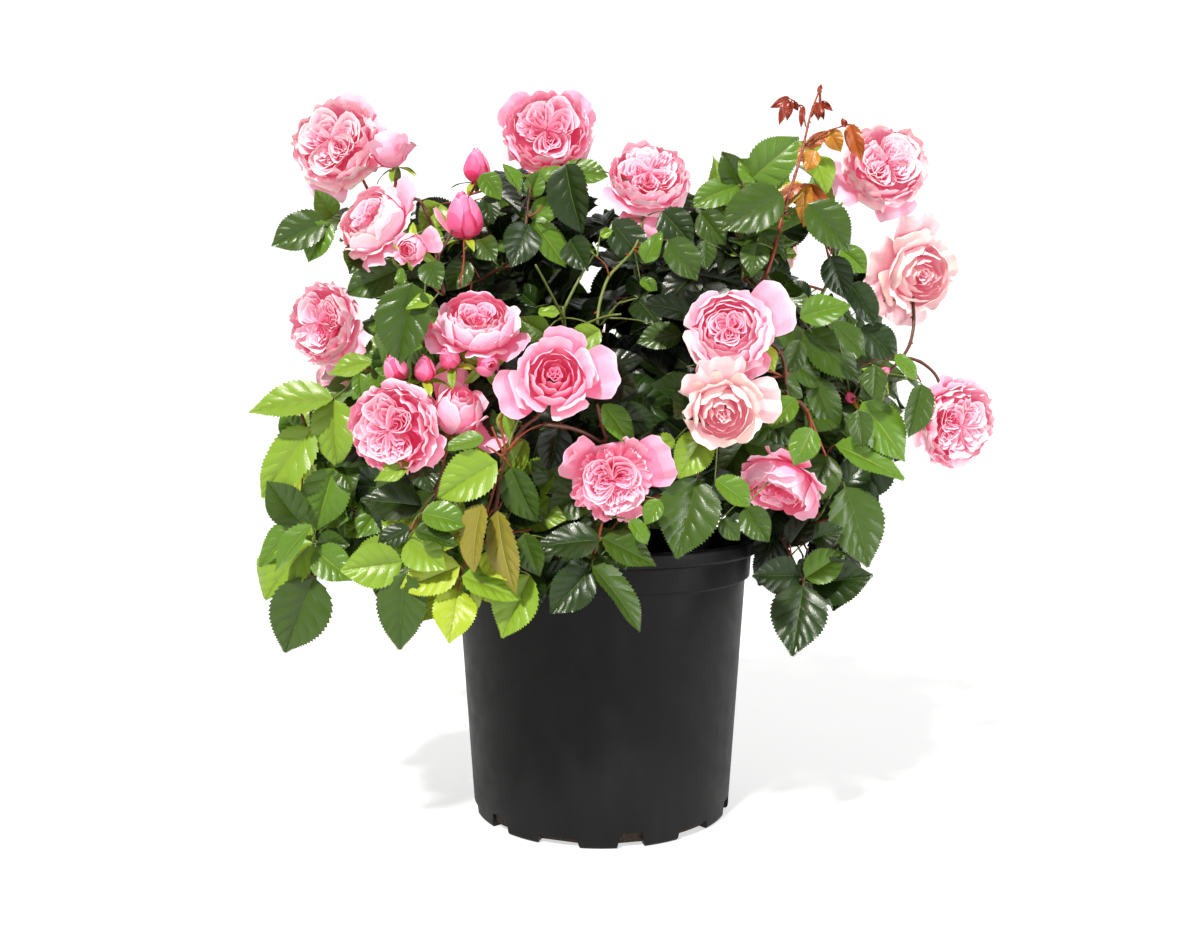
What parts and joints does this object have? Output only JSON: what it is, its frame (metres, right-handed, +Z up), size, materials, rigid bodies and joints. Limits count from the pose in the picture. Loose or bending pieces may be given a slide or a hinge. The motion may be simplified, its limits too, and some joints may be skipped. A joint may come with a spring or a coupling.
{
  "type": "potted rose bush",
  "caption": "Double-flowered pink shrub rose in full leaf and bloom, grown on thorny canes from a short stem in a round black nursery pot.",
  "frame": {"origin": "centre of the pot's flat underside", "axes": "+Z up, -Y towards the front of the plant as the picture shows it, +X to the right of that view"},
  "size_m": [0.6288, 0.532, 0.6399],
  "materials": {
    "pot_plastic": "satin black moulded polypropylene with a fine drawn grain",
    "potting_mix": "rough crumbly potting mix of composted bark",
    "old_bark": "ridged brown-green bark with thorns",
    "young_bark": "smooth green bark flushed red-brown, with thorns",
    "leaf": "glossy veined leaf, paler beneath",
    "petal": "soft satin petal, deep pink at the heart and pale at the rim"
  },
  "bodies": {
    "root": {"pot": "pot_plastic", "soil": "potting_mix", "stem": "old_bark", "cane_upper_left": "old_bark", "cane_lower_left": "old_bark", "cane_front": "old_bark", "cane_lower_right": "old_bark", "cane_upper_right": "old_bark", "cane_back_right": "old_bark", "cane_back": "old_bark", "cane_back_left": "old_bark", "bough_upper_left": "young_bark", "bough_top_left": "young_bark", "bough_left": "young_bark", "bough_front_left": "young_bark", "bough_lower_left": "young_bark", "bough_front_rim": "young_bark", "bough_front_centre": "young_bark", "bough_front_low": "young_bark", "bough_front_right": "young_bark", "bough_right": "young_bark", "bough_lower_right": "young_bark", "bough_top_right": "young_bark", "bough_upper_right": "young_bark", "bough_top_centre": "young_bark", "bough_back_upper_right": "young_bark", "bough_back_right": "young_bark", "bough_back_centre": "young_bark", "bough_back_low": "young_bark", "bough_back_upper_left": "young_bark", "bough_back_left": "young_bark", "bough_heart": "young_bark", "foliage_upper_left": "leaf", "foliage_top_left": "leaf", "foliage_left": "leaf", "foliage_front_left": "leaf", "foliage_lower_left": "leaf", "foliage_front_rim": "leaf", "foliage_front_centre": "leaf", "foliage_front_low": "leaf", "foliage_front_right": "leaf", "foliage_right": "leaf", "foliage_lower_right": "leaf", "foliage_top_right": "leaf", "foliage_upper_right": "leaf", "foliage_top_centre": "leaf", "foliage_back_upper_right": "leaf", "foliage_back_right": "leaf", "foliage_back_centre": "leaf", "foliage_back_low": "leaf", "foliage_back_upper_left": "leaf", "foliage_back_left": "leaf", "foliage_heart": "leaf"}
  },
  "joints": []
}
